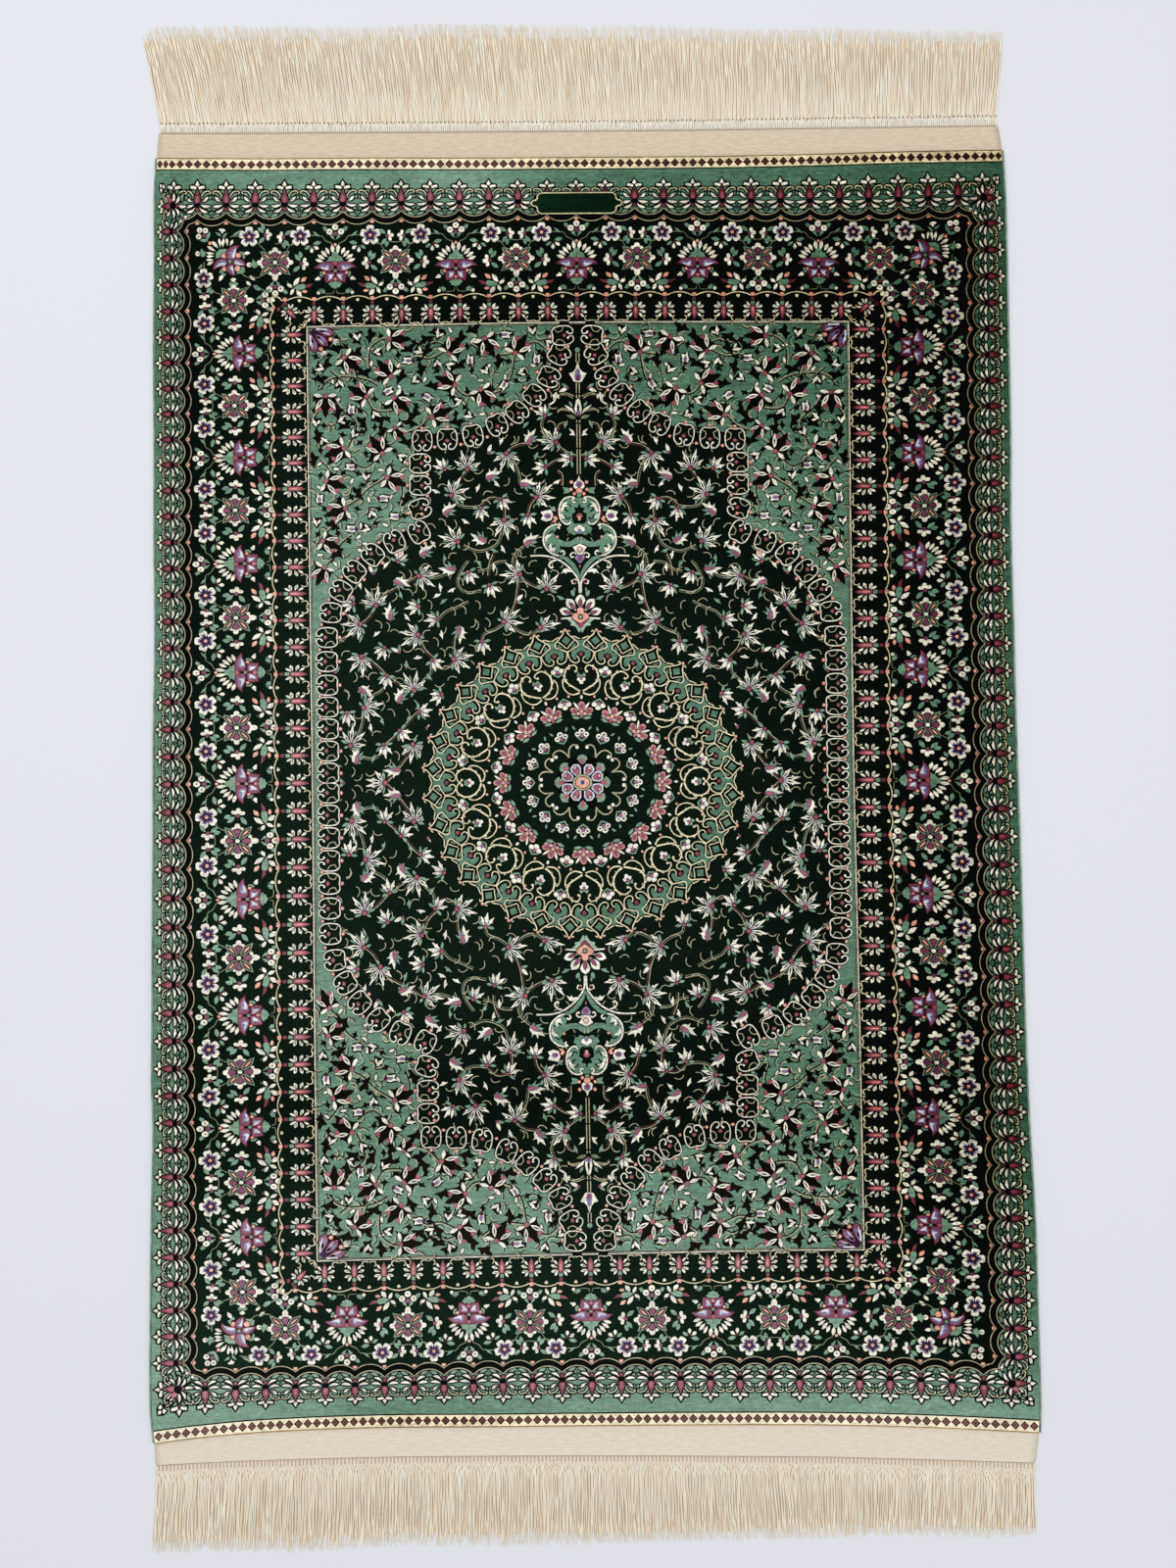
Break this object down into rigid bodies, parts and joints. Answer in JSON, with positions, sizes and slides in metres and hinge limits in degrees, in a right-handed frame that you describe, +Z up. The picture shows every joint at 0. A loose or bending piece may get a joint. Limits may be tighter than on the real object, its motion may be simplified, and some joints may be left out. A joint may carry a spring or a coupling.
{
  "type": "persian rug",
  "caption": "Flat rectangular hand-knotted silk rug with a lobed medallion, floral borders, overcast sides, flat-woven ends and warp fringes.",
  "frame": {"origin": "on the surface that the rug lies on, under the middle of its bounding box, fringes included", "axes": "+Z up through the pile, +Y along the rug towards the end that is at the top of the picture, +X to that end's right"},
  "size_m": [0.815, 1.4114, 0.004],
  "materials": {
    "silk_pile": "short silk pile",
    "silk_cord": "silk wrapping",
    "web_yarn": "flat weave",
    "fringe_yarn": "bare silk yarn"
  },
  "bodies": {
    "root": {"pile": "silk_pile", "overcast_left": "silk_cord", "overcast_right": "silk_cord", "kelim_top": "web_yarn", "kelim_bottom": "web_yarn", "fringe_top": "fringe_yarn", "fringe_bottom": "fringe_yarn"}
  },
  "joints": []
}
